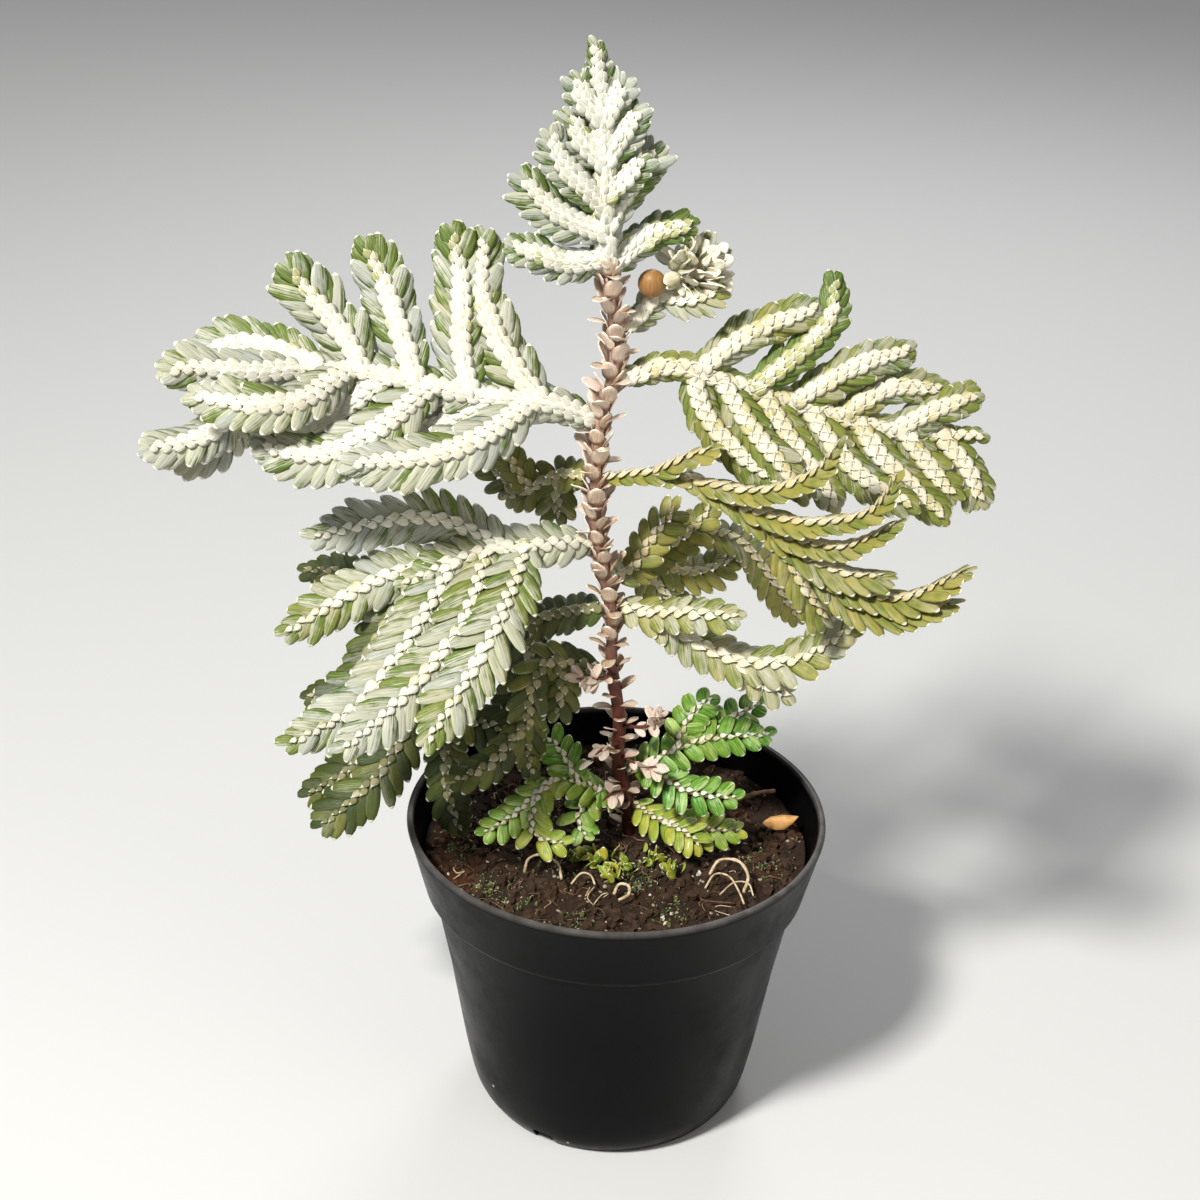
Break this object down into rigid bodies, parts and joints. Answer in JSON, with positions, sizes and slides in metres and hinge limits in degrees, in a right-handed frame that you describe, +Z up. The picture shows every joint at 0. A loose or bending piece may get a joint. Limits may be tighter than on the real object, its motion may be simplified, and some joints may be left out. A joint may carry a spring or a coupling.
{
  "type": "potted spikemoss",
  "caption": "Potted spikemoss: an upright leafy stem with flat, braided, fern-like fronds and low green sprays, rooted in soil in a small black nursery pot.",
  "frame": {"origin": "on the floor, under the middle of the whole object's bounding box; the pot's axis stands 8.8 mm to its right (+X)", "axes": "+Z up along the main stem, -Y towards the viewer of the picture, +X to the right"},
  "size_m": [0.1685, 0.09, 0.2365],
  "materials": {
    "black_plastic": "semi-gloss black pot plastic with dust",
    "potting_soil": "crumbly dark brown compost",
    "stem": "red-brown stem with pale scale leaves",
    "silver_foliage": "silvery pale green leaflets, waxy",
    "olive_foliage": "cream to olive leaflets",
    "green_foliage": "bright green leaflets",
    "shaded_foliage": "dark green leaflets seen from below",
    "dry_litter": "dry tan roots and leaf"
  },
  "bodies": {
    "root": {"pot": "black_plastic", "soil": "potting_soil", "main_stem": "stem", "side_shoot": "stem", "apex_spray": "silver_foliage", "frond_upper_left": "silver_foliage", "frond_lower_left": "silver_foliage", "frond_upper_right": "olive_foliage", "frond_mid_right": "olive_foliage", "frond_low_right": "olive_foliage", "strap_hanging_left": "olive_foliage", "frond_back_right": "green_foliage", "frond_back_left": "shaded_foliage", "twig_upper_back": "shaded_foliage", "basal_spray_left": "green_foliage", "basal_spray_right": "green_foliage", "basal_spray_front": "green_foliage", "dry_leaf": "dry_litter", "dry_root_left": "dry_litter", "dry_root_right": "dry_litter", "twig_on_soil": "dry_litter"}
  },
  "joints": []
}
